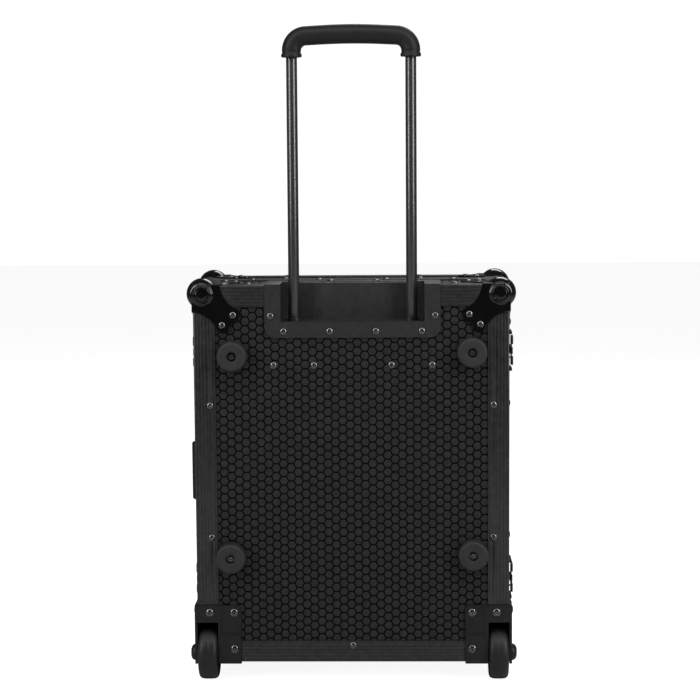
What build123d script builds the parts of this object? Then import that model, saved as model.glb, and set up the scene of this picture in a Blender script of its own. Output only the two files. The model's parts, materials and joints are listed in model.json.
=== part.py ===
"""Rolling flight case for audio equipment, standing on its two corner wheels.

A plywood base and a lift-off lid, framed in grooved aluminium angle, with ball corners,
corner wheels, a pull-out trolley handle, a sprung carry handle and four butterfly latches.

Frame: millimetres. +Z up, Z = 0 is the floor. The base panel with its rubber feet faces -Y,
the lid is on the +Y side, and the trolley handle comes out of the upper end.
"""
import os
from math import asin, cos, sin
from build123d import *

# ---- case ---------------------------------------------------------------------------------
case_width = 420.0
case_height = 510.0
base_depth = 110.0
lid_depth = 80.0
board = 9.0  # laminated plywood
wheel_stand = 27.5  # gap under the case
foot_height = 18.0
ball_radius = 21.0
ball_inset = 12.0  # ball centre below each of its three faces
ball_skin = 2.2
plate_rise = 1.6  # ball-corner plate over the edging
plate_skirt = 36.0  # along the case's edges, from the corner

# ---- aluminium edging ---------------------------------------------------------------------
trim_leg = 28.7
trim_t = 1.8
trim_round = 2.2
groove_width = 1.5
groove_depth = 0.7
grooves_per_leg = 6
trim_stop = 31.0  # edging ends this far from a ball corner
rim_leg = 15.0  # outer leg of the tongue-and-groove rim
rim_web = 4.0
rim_inner = 1.5
rim_gap = 0.3
mitre_gap = 0.2

# ---- trolley handle -----------------------------------------------------------------------
trolley_x = 2.0  # the trolley sits a little off centre
trolley_depth = 25.0  # rod axis behind the base panel's face
rod_radius = 7.3
rod_spacing = 157.4
grip_top = 879.8
grip_radius = 12.8
grip_bend = 19.0
grip_end_z = 842.0
lip_radius = 13.7
lip_height = 5.5
tray_width = 191.0
tray_height = 49.5
tray_deep = 52.0
tray_middle = 41.0  # the middle of the tray is this deep
tray_middle_width = 143.0
tray_wall = 1.6
tray_rise = 0.8  # flange over the edging
rod_bore = 6.0
grip_socket_z = 861.0
socket_half = 14.0
flange_width = 233.5
flange_height = 70.5
flange_back = 22.0
flange_radius = 14.0
collar_radius = 8.6
collar_height = 3.6
tube_bore = 7.9
tube_radius = 9.0
tube_low_z = 70.0
bush_radius = 7.8
bush_height = 26.0
rod_low_z = 444.0
clamp_z = 430.0
clamp_reach = 35.0
clamp_height = 22.0

# ---- wheels -------------------------------------------------------------------------------
wheel_radius = 36.0
wheel_width = 26.4
wheel_x = 196.1
wheel_out = 15.0  # the wheel stands this far proud of the base panel's face
core_radius = 25.5
axle_radius = 4.0
running_play = 0.05
dome_radius = 11.5
dome_out = 221.0
bracket_reach = 59.0  # along X, from the case side
bracket_height = 78.0
bracket_deep = 66.0
bracket_t = 2.0
pocket_depth = 60.0
pocket_height = 54.5
cheek_in = 182.0
cheek_out = 210.2
cheek_face = 213.6

# ---- feet and rivets ----------------------------------------------------------------------
foot_radius = 20.3
foot_crown = 18.8
recess_radius = 6.4
recess_deep = 9.0
screw_radius = 2.6
screw_head = 4.6
screw_rise = 3.2
washer_t = 1.4
foot_places = [(-158.3, 443.6), (160.4, 447.5), (-163.0, 171.6), (161.5, 175.1)]
standing_x = 120.0
standing_y = 52.6
foot_seat = 17.8  # the foot is stepped where it passes the edging
seat_high = 2.3
rivet_head = 4.7
rivet_rise = 2.2
shank_radius = 2.4
shank_long = 11.0
hole_play = 0.05
large_rivet_scale = 1.22
slim_rivet_scale = 0.72

# ---- latches and carry handle -------------------------------------------------------------
latch_pitch = 316.0
latch_half = 27.0  # half the latch plate's height
latch_plate_t = 1.5
latch_level = 7.1  # height of the raised ends over the case side
latch_top = 9.1  # height of the folded wings' lips
spindle_y = -20.0  # from the parting line
spindle_radius = 3.5
hook_pivot_y = -35.5
hook_tip_y = 10.0
hook_open = 2.5  # degrees that the open hook stands off
hook_half = 7.0
hook_low = 1.8
hook_high = 3.4
hook_mid = 2.7  # height of the hook pin over the case side
hook_pin = 1.0
wing_pin = 0.8
keeper_t = 1.6
wing_reach = 20.3
wing_half = 9.0
wing_axis_z = 2.9
wing_axis_rise = 7.1
handle_z = 279.5
handle_y = -28.6
dish_width = 46.0
dish_height = 104.0
dish_in = 13.0  # the dish reaches this far inside the board's inner face
dish_wall = 1.5
handle_plate_width = 58.0
handle_plate_height = 134.0
bail_wire = 3.0
bail_half = 46.5
hinge_x = -213.4
hinge_step = 17.0
sleeve_x = -211.5
sleeve_step = 1.0
sleeve_radius = 8.8
sleeve_long = 87.0

# ---- inside -------------------------------------------------------------------------------
floor_board = 6.0
floor_foam = 12.0
strip = 12.0
lid_sheet = 20.0
foam_gap = 0.3

# ---- places worked out from the above -----------------------------------------------------
side_x = case_width / 2
low_z = wheel_stand
high_z = low_z + case_height
mid_z = (low_z + high_z) / 2
ball_proud = ball_radius - ball_inset
face_y = -(base_depth + lid_depth + ball_proud - foot_height) / 2
part_y = face_y + base_depth
back_y = part_y + lid_depth
skin = side_x - trim_t  # outer face of the side boards
inner_x = skin - board
rod_y = face_y + trolley_depth
panel_out = face_y + trim_t
panel_in = panel_out + board
lid_in = back_y - trim_t - board
floor_y = panel_in + 25.5
floor_out = floor_y + floor_board
wheel_y = face_y - wheel_out + wheel_radius
wheel_z = wheel_radius
pocket_back = face_y + pocket_depth
pocket_top = low_z + pocket_height
tray_floor = high_z - tray_height
trim_end = side_x - trim_stop
rim_edge = part_y - rim_leg
lid_rim_edge = part_y + rim_leg
web_in = trim_t + board + rim_inner

front_plane = Plane(origin=(0, face_y, 0), x_dir=(1, 0, 0), z_dir=(0, -1, 0))
back_plane = Plane(origin=(0, back_y, 0), x_dir=(1, 0, 0), z_dir=(0, 1, 0))
right_plane = Plane(origin=(side_x, 0, 0), x_dir=(0, 1, 0), z_dir=(1, 0, 0))
left_plane = Plane(origin=(-side_x, 0, 0), x_dir=(0, 1, 0), z_dir=(-1, 0, 0))
top_plane = Plane(origin=(0, 0, high_z), x_dir=(1, 0, 0), z_dir=(0, 0, 1))
end_plane = Plane(origin=(0, 0, low_z), x_dir=(1, 0, 0), z_dir=(0, 0, -1))

os.makedirs("parts", exist_ok=True)


def save(piece, name):
    """Label a finished piece and write it to its own STEP file."""
    piece.label = name
    export_step(piece, f"parts/{name}.step")


def block(x0, x1, y0, y1, z0, z1, mode=Mode.ADD):
    """A box between two corners, given in either order along X."""
    with Locations(((x0 + x1) / 2, (y0 + y1) / 2, (z0 + z1) / 2)):
        Box(abs(x1 - x0), y1 - y0, z1 - z0, mode=mode)


def rod(centre, axis, radius, length, mode=Mode.ADD):
    """A cylinder about a row axis, centred on a point."""
    turn = {"x": (0, 90, 0), "y": (90, 0, 0), "z": (0, 0, 0)}[axis]
    with Locations(Location(centre, turn)):
        Cylinder(radius, length, mode=mode)


def both_sides(points):
    """Points and their mirror images across the case's middle."""
    return points + [(-x, y) for x, y in points]


latch_heights = {"lower": mid_z - latch_pitch / 2, "upper": mid_z + latch_pitch / 2}

# ---- rivets: their places by face, as the two coordinates that lie in it ------------------
edge_line = side_x - 21.0
ball_spots = [(53.2, 39.8), (38.6, 53.3)]  # from the corner
flange_left = trolley_x - flange_width / 2
flange_right = trolley_x + flange_width / 2
tray_rivets = [(flange_left + 7.5, high_z - 41.5), (flange_right - 7.0, high_z - 41.5)]
tray_rivets += [(trolley_x + step, high_z - 62.0) for step in (-92.0, -30.5, 31.0, 92.0)]
tray_top_rivets = [(trolley_x + step, face_y + tray_deep + 13.0) for step in (-31.0, 31.0)]
clamp_rivets = [(trolley_x + s * rod_spacing / 2 + d, clamp_z) for s in (-1, 1) for d in (-27, 27)]
front_ball_rivets = both_sides([(side_x - u, high_z - v) for u, v in ball_spots])
back_ball_rivets = front_ball_rivets + [(x, low_z + high_z - z) for x, z in front_ball_rivets]
side_trim_heights = (197.8, 376.5)
front_trim_rivets = both_sides([(edge_line, z) for z in side_trim_heights]) + [(0.0, low_z + 22.6)]
bracket_rivets = both_sides([(193.2, low_z + 68), (160.3, low_z + 68), (160.3, low_z + 18)])
top_ball_rivets = both_sides([(side_x - u, face_y + v) for u, v in ball_spots])
top_trim_rivets = both_sides([(138, face_y + 21), (138, part_y - 7.5), (46, part_y - 7.5)])
end_trim_rivets = both_sides([(93, face_y + 21), (93, part_y - 7.5)])
end_bracket_rivets = both_sides([(160.3, face_y + 18), (160.3, face_y + 52)])
side_ball_rivets = [(face_y + u, high_z - v) for u, v in ball_spots]
side_trim_rivets = [(face_y + 21, z) for z in side_trim_heights]
side_trim_rivets += [(part_y - 7.5, z) for z in (200.0, 282.5, 365.0)]
side_bracket_rivets = [(face_y + 18, low_z + 68), (face_y + 52, low_z + 68)]
lid_back_rivets = both_sides([(edge_line, z) for z in side_trim_heights])
lid_back_rivets += both_sides([(93, low_z + 21), (93, high_z - 21)])
lid_end_ball_rivets = both_sides([(side_x - u, back_y - v) for u, v in ball_spots])
lid_end_trim_rivets = both_sides([(93, back_y - 21), (93, part_y + 7.5)])
lid_side_ball_rivets = [(back_y - u, high_z - v) for u, v in ball_spots]
lid_side_ball_rivets += [(back_y - u, low_z + v) for u, v in ball_spots]
lid_side_trim_rivets = [(y, z) for y in (back_y - 21, part_y + 7.5) for z in (225.0, 340.0)]
latch_rivets = []
for z in latch_heights.values():
    latch_rivets += [(part_y + y, z + step) for y in (-33.5, -8.0) for step in (-19, 19)]
keeper_rivets = [(part_y + 17.0, z + step) for z in latch_heights.values() for step in (-8, 8)]


def rivet_shape(scale, head_on=True):
    """A domed rivet about +Z, head on Z = 0 and shank below, or only its drilled hole."""
    head = rivet_head * scale
    high = rivet_rise * scale
    edge = 0.25 * high
    dome = (head ** 2 + (high - edge) ** 2) / (2 * (high - edge))
    half_turn = asin(head / dome) / 2
    middle = (dome * sin(half_turn), high - dome * (1 - cos(half_turn)))
    shank = shank_radius if head_on else shank_radius + hole_play
    foot = [(shank, 0), (shank, -shank_long), (0, -shank_long)]
    with BuildPart() as one:
        with BuildSketch(Plane.XZ):
            with BuildLine():
                if head_on:
                    ThreePointArc((0, high), middle, (head, edge))
                    Polyline((head, edge), (head, 0), *foot, (0, high))
                else:
                    Polyline((0, 0), *foot, (0, 0))
            make_face()
        revolve(axis=Axis.Z)
    return one.part


small_rivet = rivet_shape(1.0)
large_rivet = rivet_shape(large_rivet_scale)
slim_rivet = rivet_shape(slim_rivet_scale)
drilled = rivet_shape(1.0, head_on=False)


def face_places(plane, points, rise=0.0):
    """Locations on a case face, +Z out of it, from the two row coordinates that lie in the face."""
    normal = plane.z_dir
    spots = []
    for u, v in points:
        if abs(normal.Y) > 0.5:
            centre = Vector(u, plane.origin.Y, v)
        elif abs(normal.X) > 0.5:
            centre = Vector(plane.origin.X, u, v)
        else:
            centre = Vector(u, v, plane.origin.Z)
        spots.append(Plane(origin=centre + normal * rise, z_dir=normal).location)
    return spots


base_rows = [
    (front_plane, tray_rivets, tray_rise, small_rivet),
    (front_plane, clamp_rivets, -trim_t, small_rivet),
    (front_plane, front_ball_rivets, plate_rise, small_rivet),
    (front_plane, front_trim_rivets, 0.0, small_rivet),
    (front_plane, bracket_rivets, bracket_t, large_rivet),
    (top_plane, top_ball_rivets, plate_rise, small_rivet),
    (top_plane, tray_top_rivets, tray_rise, small_rivet),
    (top_plane, top_trim_rivets, 0.0, small_rivet),
    (end_plane, end_trim_rivets, 0.0, small_rivet),
    (end_plane, end_bracket_rivets, bracket_t, large_rivet),
]
lid_rows = [
    (back_plane, back_ball_rivets, plate_rise, small_rivet),
    (back_plane, lid_back_rivets, 0.0, small_rivet),
]
for side_plane in (left_plane, right_plane):
    base_rows.append((side_plane, side_ball_rivets, plate_rise, small_rivet))
    base_rows.append((side_plane, side_trim_rivets, 0.0, small_rivet))
    base_rows.append((side_plane, side_bracket_rivets, cheek_face - side_x, large_rivet))
    base_rows.append((side_plane, latch_rivets, latch_plate_t, slim_rivet))
    lid_rows.append((side_plane, keeper_rivets, keeper_t, slim_rivet))
    lid_rows.append((side_plane, lid_side_ball_rivets, plate_rise, small_rivet))
    lid_rows.append((side_plane, lid_side_trim_rivets, 0.0, small_rivet))
for level_plane in (top_plane, end_plane):
    lid_rows.append((level_plane, lid_end_ball_rivets, plate_rise, small_rivet))
    lid_rows.append((level_plane, lid_end_trim_rivets, 0.0, small_rivet))


def rivet_group(rows, shape=None):
    """Every rivet of the rows, or the drilled hole of each."""
    with BuildPart() as group:
        for plane, points, rise, head in rows:
            with Locations(*face_places(plane, points, rise)):
                add(shape or head)
    return group.part


base_holes = rivet_group(base_rows, drilled)
lid_holes = rivet_group(lid_rows, drilled)
save(rivet_group(base_rows), "base_rivets")
save(rivet_group(lid_rows), "lid_rivets")


# ---- aluminium edging ---------------------------------------------------------------------
def edging(corner, inward_a, inward_b, length):
    """A grooved angle along an edge of the case, centred on a point of that edge."""
    along = Vector(*inward_a).cross(Vector(*inward_b))
    pitch = (trim_leg - 6.0) / (grooves_per_leg - 1)
    lines = [4.0 + i * pitch for i in range(grooves_per_leg)]
    with BuildSketch(Plane(origin=corner, x_dir=inward_a, z_dir=along)) as section:
        with BuildLine():
            Polyline((0, trim_round), (0, trim_leg), (trim_t, trim_leg), (trim_t, trim_t),
                     (trim_leg, trim_t), (trim_leg, 0), (trim_round, 0))
            ThreePointArc((trim_round, 0), (0.29 * trim_round, 0.29 * trim_round), (0, trim_round))
        make_face()
        with Locations(*[(u, 0) for u in lines]):
            Rectangle(groove_width, 2 * groove_depth, mode=Mode.SUBTRACT)
        with Locations(*[(0, u) for u in lines]):
            Rectangle(2 * groove_depth, groove_width, mode=Mode.SUBTRACT)
    extrude(section.sketch, amount=length / 2, both=True)


side_low = pocket_top + 3.0
side_high = high_z - trim_stop
with BuildPart() as base_edge_trims:
    for s in (-1, 1):
        edging((s * side_x, face_y, (side_low + side_high) / 2), (-s, 0, 0), (0, 1, 0), side_high - side_low)
    edging((0, face_y, low_z), (0, 1, 0), (0, 0, 1), 2 * trim_end)
    for x0, x1 in ((-trim_end, flange_left - 0.3), (flange_right + 0.3, trim_end)):
        edging(((x0 + x1) / 2, face_y, high_z), (0, 1, 0), (0, 0, -1), x1 - x0)
    for s in (-1, 1):
        for z, up, start in ((high_z, -1, face_y + trim_stop), (low_z, 1, pocket_back + 3.0)):
            stop = rim_edge - 0.2
            edging((s * side_x, (start + stop) / 2, z), (-s, 0, 0), (0, 0, up), stop - start)
    add(base_holes, mode=Mode.SUBTRACT)
save(base_edge_trims.part, "base_edge_trims")

with BuildPart() as lid_edge_trims:
    for s in (-1, 1):
        edging((s * side_x, back_y, mid_z), (-s, 0, 0), (0, -1, 0), case_height - 2 * trim_stop)
    for z, up in ((high_z, -1), (low_z, 1)):
        edging((0, back_y, z), (0, -1, 0), (0, 0, up), 2 * trim_end)
    for s in (-1, 1):
        for z, up in ((high_z, -1), (low_z, 1)):
            start = lid_rim_edge + 0.2
            stop = back_y - trim_stop
            edging((s * side_x, (start + stop) / 2, z), (-s, 0, 0), (0, 0, up), stop - start)
    add(lid_holes, mode=Mode.SUBTRACT)
save(lid_edge_trims.part, "lid_edge_trims")


# ---- tongue-and-groove rims ---------------------------------------------------------------
def ring(deepest, shallowest, y0, y1, mode=Mode.ADD):
    """A rectangular frame between two depths below the case's sides."""
    with BuildSketch(Plane(origin=(0, y0, mid_z), x_dir=(1, 0, 0), z_dir=(0, 1, 0))) as frame:
        Rectangle(case_width - 2 * shallowest, case_height - 2 * shallowest)
        Rectangle(case_width - 2 * deepest, case_height - 2 * deepest, mode=Mode.SUBTRACT)
    extrude(frame.sketch, amount=y1 - y0, mode=mode)


def mitres(y0, y1):
    """Saw cuts that part a frame into four bars."""
    for sx in (-1, 1):
        for z, sz in ((high_z, 1), (low_z, -1)):
            with Locations(Location((sx * side_x, (y0 + y1) / 2, z), (0, sx * sz * 45, 0))):
                Box(mitre_gap, y1 - y0 + 2, 60, mode=Mode.SUBTRACT)


tongue_mid = trim_t + board / 2
with BuildPart() as base_rim:
    ring(web_in, 0, part_y - rim_web, part_y)
    ring(trim_t, 0, rim_edge, part_y - rim_web)
    ring(web_in, web_in - rim_inner, part_y - 12.0, part_y - rim_web)
    ring(tongue_mid + 1.6, tongue_mid - 1.6, part_y - 2.6, part_y, mode=Mode.SUBTRACT)
    mitres(rim_edge, part_y)
    add(base_holes, mode=Mode.SUBTRACT)
save(base_rim.part, "base_rim")

with BuildPart() as lid_rim:
    ring(web_in, 0, part_y + rim_gap, part_y + rim_web)
    ring(trim_t, 0, part_y + rim_web, lid_rim_edge)
    ring(web_in, web_in - rim_inner, part_y + rim_web, part_y + 12.0)
    ring(tongue_mid + 1.2, tongue_mid - 1.2, part_y - 2.0, part_y + rim_gap)
    mitres(part_y - 2.0, lid_rim_edge)
    add(lid_holes, mode=Mode.SUBTRACT)
save(lid_rim.part, "lid_rim")


# ---- plywood ------------------------------------------------------------------------------
def housing_space(play):
    """Clear the two lower corners that the wheel housings fill."""
    wall = bracket_t + play
    for s in (-1, 1):
        block(s * (cheek_in - wall), s * (side_x + 10), face_y - 10, pocket_back + wall,
              low_z - 10, pocket_top + wall, mode=Mode.SUBTRACT)


def tray_space(play):
    """Clear the room that the trolley tray takes in the upper end."""
    half = tray_width / 2 + tray_wall + play
    block(trolley_x - half, trolley_x + half, face_y - 10, face_y + tray_deep + tray_wall + play,
          tray_floor - tray_wall - play, high_z + 10, mode=Mode.SUBTRACT)


def dish_space(play):
    """Clear the hole for the carry handle's dish in the left side."""
    block(-side_x - 5, -inner_x + dish_in + play, handle_y - dish_width / 2 - play,
          handle_y + dish_width / 2 + play, handle_z - dish_height / 2 - play,
          handle_z + dish_height / 2 + play, mode=Mode.SUBTRACT)


def foot_holes(radius):
    """Holes for the screws of the four base feet."""
    for x, z in foot_places:
        rod((x, face_y, z), "y", radius, 70, mode=Mode.SUBTRACT)


def spindle_holes():
    """Room for the latch spindles' tails in the side boards."""
    for z in latch_heights.values():
        rod((0, part_y + spindle_y, z), "x", spindle_radius + 1.5, case_width, mode=Mode.SUBTRACT)


with BuildPart() as base_panel:
    block(-skin, skin, panel_out, panel_in, low_z + trim_t, high_z - trim_t)
    housing_space(0.2)
    tray_space(0.2)
    foot_holes(screw_radius + hole_play)
    add(base_holes, mode=Mode.SUBTRACT)
save(base_panel.part, "base_panel")

with BuildPart() as base_side_walls:
    for s in (-1, 1):
        block(s * inner_x, s * skin, panel_in, part_y - rim_web, low_z + trim_t, high_z - trim_t)
    housing_space(0.2)
    dish_space(0.2)
    spindle_holes()
    add(base_holes, mode=Mode.SUBTRACT)
save(base_side_walls.part, "base_side_walls")

with BuildPart() as base_end_walls:
    for z0 in (low_z + trim_t, high_z - trim_t - board):
        block(-inner_x, inner_x, panel_in, part_y - rim_web, z0, z0 + board)
    housing_space(0.2)
    tray_space(0.2)
    for s in (-1, 1):
        rod((s * (cheek_in - bracket_t - 2), wheel_y, wheel_z), "x", axle_radius + 2.5, 6, mode=Mode.SUBTRACT)
    add(base_holes, mode=Mode.SUBTRACT)
save(base_end_walls.part, "base_end_walls")

with BuildPart() as false_floor:
    inset = trim_t + board + 0.3
    block(-side_x + inset, side_x - inset, floor_y, floor_out, low_z + inset, high_z - inset)
    housing_space(0.5)
    tray_space(0.5)
    dish_space(0.5)
save(false_floor.part, "false_floor")

with BuildPart() as floor_battens:
    for x in (-176.0, -20.0, 24.0, 176.0):
        block(x - 8, x + 8, panel_in, floor_y, 120.0, 440.0)
    dish_space(1.0)
save(floor_battens.part, "floor_battens")

with BuildPart() as lid_panel:
    block(-skin, skin, lid_in, back_y - trim_t, low_z + trim_t, high_z - trim_t)
    add(lid_holes, mode=Mode.SUBTRACT)
save(lid_panel.part, "lid_panel")

with BuildPart() as lid_side_walls:
    for s in (-1, 1):
        block(s * inner_x, s * skin, part_y + rim_web, lid_in, low_z + trim_t, high_z - trim_t)
    add(lid_holes, mode=Mode.SUBTRACT)
save(lid_side_walls.part, "lid_side_walls")

with BuildPart() as lid_end_walls:
    for z0 in (low_z + trim_t, high_z - trim_t - board):
        block(-inner_x, inner_x, part_y + rim_web, lid_in, z0, z0 + board)
    for s in (-1, 1):
        rod((s * standing_x, standing_y, low_z), "z", screw_radius + hole_play, 40, mode=Mode.SUBTRACT)
    add(lid_holes, mode=Mode.SUBTRACT)
save(lid_end_walls.part, "lid_end_walls")

# ---- foam linings: a sheet with four strips butted on it ----------------------------------
foam_x = inner_x - rim_inner - 0.5
foam_low = low_z + trim_t + board + rim_inner + 0.5
foam_high = high_z - trim_t - board - rim_inner - 0.5
strip_y = floor_out + floor_foam + foam_gap
strip_ends = foam_x - strip - foam_gap
dish_low = handle_z - dish_height / 2 - 1.0
dish_high = handle_z + dish_height / 2 + 1.0
dish_top = handle_y + dish_width / 2 + 1.0
with BuildPart() as base_foam:
    block(-strip_ends, foam_x, floor_out, floor_out + floor_foam, foam_low, foam_high)
    block(foam_x - strip, foam_x, strip_y, part_y - 6.0, foam_low, foam_high)
    block(-foam_x, strip - foam_x, floor_out, part_y - 6.0, foam_low, dish_low)
    block(-foam_x, strip - foam_x, floor_out, part_y - 6.0, dish_high, foam_high)
    block(-foam_x, strip - foam_x, dish_top, part_y - 6.0, dish_low + foam_gap, dish_high - foam_gap)
    for z0 in (foam_low, foam_high - strip):
        block(-strip_ends, strip_ends, strip_y, part_y - 6.0, z0, z0 + strip)
    housing_space(1.0)
    tray_space(0.8)
save(base_foam.part, "base_foam")

with BuildPart() as lid_foam:
    block(-foam_x, foam_x, lid_in - lid_sheet, lid_in - 0.5, foam_low, foam_high)
    strip_top = lid_in - lid_sheet - foam_gap
    for s in (-1, 1):
        block(s * (foam_x - strip), s * foam_x, part_y + 6.0, strip_top, foam_low, foam_high)
    for z0 in (foam_low, foam_high - strip):
        block(-strip_ends, strip_ends, part_y + 6.0, strip_top, z0, z0 + strip)
save(lid_foam.part, "lid_foam")


# ---- ball corners -------------------------------------------------------------------------
# Skirt along two edges and the two-rivet tongue, laid out from the case's corner.
with BuildLine() as plate_outline:
    Line((0, 0), (plate_skirt, 0))
    ThreePointArc((plate_skirt, 0), (43.5, 19.5), (61.3, 33.5))
    ThreePointArc((61.3, 33.5), (61.7, 45.9), (50.1, 50.1))
    ThreePointArc((50.1, 50.1), (45.9, 61.7), (33.5, 61.3))
    ThreePointArc((33.5, 61.3), (19.5, 43.5), (0, plate_skirt))
    Line((0, plate_skirt), (0, 0))


def ball_corner(sx, sy, sz):
    """A hollow ball on three plates that wrap one corner of the case; the signs say which."""
    corner = Vector(sx * side_x, face_y if sy < 0 else back_y, high_z if sz > 0 else low_z)
    inward = [Vector(-sx, 0, 0), Vector(0, -sy, 0), Vector(0, 0, -sz)]
    centre = corner + (inward[0] + inward[1] + inward[2]) * ball_inset
    for i in range(3):
        outward = inward[i] * -1
        first, second = inward[(i + 1) % 3], inward[(i + 2) % 3]
        along = first if (outward.cross(first) - second).length < 0.1 else second
        face = Plane(origin=corner, x_dir=along, z_dir=outward)
        with BuildSketch(face) as skirt:
            make_face(plate_outline.line.edges())
        extrude(skirt.sketch, amount=plate_rise)
        with BuildSketch(face) as seat:
            make_face(plate_outline.line.edges())
            with Locations((trim_stop + 49.8, 0)):
                Rectangle(100, 2 * trim_leg + 0.4, mode=Mode.SUBTRACT)
            with Locations((0, trim_stop + 49.8)):
                Rectangle(2 * trim_leg + 0.4, 100, mode=Mode.SUBTRACT)
        extrude(seat.sketch, amount=-trim_t)
        turned = first * -1 if (inward[i].cross(first) - second).length < 0.1 else second * -1
        with BuildSketch(Plane(origin=corner, x_dir=turned, z_dir=inward[i])) as bend:
            Circle(plate_rise)
            Rectangle(plate_rise, plate_rise, align=(Align.MIN, Align.MIN), mode=Mode.INTERSECT)
        extrude(bend.sketch, amount=plate_skirt)
    with Locations(centre):
        Sphere(ball_radius)
        Sphere(ball_radius - ball_skin, mode=Mode.SUBTRACT)


with BuildPart() as base_ball_corners:
    for s in (-1, 1):
        ball_corner(s, -1, 1)
    block(-skin, skin, panel_out, part_y, low_z, high_z - trim_t, mode=Mode.SUBTRACT)
    add(base_holes, mode=Mode.SUBTRACT)
save(base_ball_corners.part, "base_ball_corners")

with BuildPart() as lid_ball_corners:
    for s in (-1, 1):
        for end in (-1, 1):
            ball_corner(s, 1, end)
    block(-skin, skin, part_y, back_y - trim_t, low_z + trim_t, high_z - trim_t, mode=Mode.SUBTRACT)
    add(lid_holes, mode=Mode.SUBTRACT)
save(lid_ball_corners.part, "lid_ball_corners")


# ---- corner wheels ------------------------------------------------------------------------
def wheel_bracket():
    """The right-hand corner: three plates round the case's corner and the wheel's housing."""
    inner = side_x - bracket_reach
    top = low_z + bracket_height
    rear = face_y + bracket_deep
    trim_line = side_x - trim_leg - 0.2
    with BuildPart() as bracket:
        block(inner, cheek_face, face_y - bracket_t, face_y, low_z - bracket_t, top)
        block(inner, cheek_face, face_y - bracket_t, rear, low_z - bracket_t, low_z)
        block(side_x, cheek_face, face_y - bracket_t, rear, low_z - bracket_t, top)
        corners = bracket.edges().filter_by(Axis.Y).group_by(Axis.X)[0].group_by(Axis.Z)[-1]
        fillet(corners, 6.0)
        block(inner, trim_line, face_y, panel_out, low_z + trim_leg + 0.2, top - 6)
        block(inner, trim_line, face_y + trim_leg + 0.2, rear, low_z, low_z + trim_t)
        block(skin, side_x, face_y + trim_leg + 0.2, rear, low_z + trim_leg + 0.2, top)
        block(trim_end + 0.2, side_x, face_y, panel_out, low_z, pocket_top + bracket_t)
        block(cheek_in - bracket_t, cheek_face, face_y - bracket_t, pocket_back + bracket_t,
              low_z - bracket_t, pocket_top + bracket_t)
        block(inner + 2.0, wheel_x - wheel_width / 2 - 4.4, face_y - bracket_t - 1.0, face_y - bracket_t,
              low_z + 37.2, low_z + 39.4)
        block(176.2, 178.4, face_y - bracket_t - 1.0, face_y - bracket_t, low_z + 37.2, top - 2)
        block(cheek_in, cheek_out, face_y - 10, pocket_back, low_z - 10, pocket_top, mode=Mode.SUBTRACT)
        rod((wheel_x, wheel_y, wheel_z), "x", axle_radius + running_play, 60, mode=Mode.SUBTRACT)
        add(base_holes, mode=Mode.SUBTRACT)
    return bracket.part


right_bracket = wheel_bracket()
save(right_bracket.mirror(Plane.YZ), "wheel_bracket_left")
save(right_bracket, "wheel_bracket_right")

with BuildPart() as wheel_axles:
    for s in (-1, 1):
        tail = cheek_in - bracket_t - 3.0
        rod((s * (tail + cheek_face) / 2, wheel_y, wheel_z), "x", axle_radius, cheek_face - tail)
        rod((s * (tail + 1.4), wheel_y, wheel_z), "x", axle_radius + 2.0, 2.8)
        dome = Plane(origin=(s * cheek_face, wheel_y, wheel_z), x_dir=(0, 1, 0), z_dir=(s, 0, 0))
        with BuildSketch(dome):
            Circle(dome_radius)
        extrude(amount=dome_out - cheek_face)
        fillet(wheel_axles.faces().sort_by(Axis.X)[-1 if s > 0 else 0].edges(), 7.0)
save(wheel_axles.part, "wheel_axles")


def wheel_pieces(s):
    """Tyre and core of one wheel, turning on the axle."""
    across = Plane(origin=(s * wheel_x, wheel_y, wheel_z), x_dir=(0, 1, 0), z_dir=(1, 0, 0))
    with BuildPart() as tyre:
        with BuildSketch(across):
            Circle(wheel_radius)
            Circle(core_radius + 0.02, mode=Mode.SUBTRACT)
        extrude(amount=wheel_width / 2, both=True)
        rims = tyre.edges().filter_by(GeomType.CIRCLE).group_by(SortBy.RADIUS)[-1]
        fillet(rims, 5.5)
    with BuildPart() as core:
        with BuildSketch(across):
            Circle(core_radius)
        extrude(amount=wheel_width / 2 - 0.6, both=True)
        for side in (-1, 1):
            face = across.offset(side * (wheel_width / 2 - 0.6))
            with BuildSketch(face):
                Circle(core_radius - 3.5)
                Circle(10.0, mode=Mode.SUBTRACT)
            extrude(amount=-side * 5.0, mode=Mode.SUBTRACT)
        rod((s * wheel_x, wheel_y, wheel_z), "x", axle_radius + running_play, 40, mode=Mode.SUBTRACT)
    return tyre.part, core.part


for s, name in ((-1, "left"), (1, "right")):
    tyre_part, core_part = wheel_pieces(s)
    save(tyre_part, f"tyre_{name}")
    save(core_part, f"wheel_core_{name}")


# ---- rubber feet --------------------------------------------------------------------------
def foot(height):
    """A moulded foot about +Z, seated on Z = 0, with a deep screw recess in its face."""
    with BuildPart() as one:
        with BuildSketch(Plane.XZ):
            with BuildLine():
                Polyline((screw_radius + 0.1, 0), (foot_seat, 0), (foot_seat, seat_high),
                         (foot_radius, seat_high), (foot_radius, height * 0.35),
                         (foot_crown + 1.0, height - 3.0))
                ThreePointArc((foot_crown + 1.0, height - 3.0), (foot_crown - 0.4, height - 0.7),
                              (foot_crown - 2.6, height))
                Polyline((foot_crown - 2.6, height), (recess_radius + 1.0, height),
                         (recess_radius, height - 1.0), (recess_radius, height - recess_deep),
                         (screw_radius + 0.1, height - recess_deep), (screw_radius + 0.1, 0))
            make_face()
        revolve(axis=Axis.Z)
    return one.part


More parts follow.
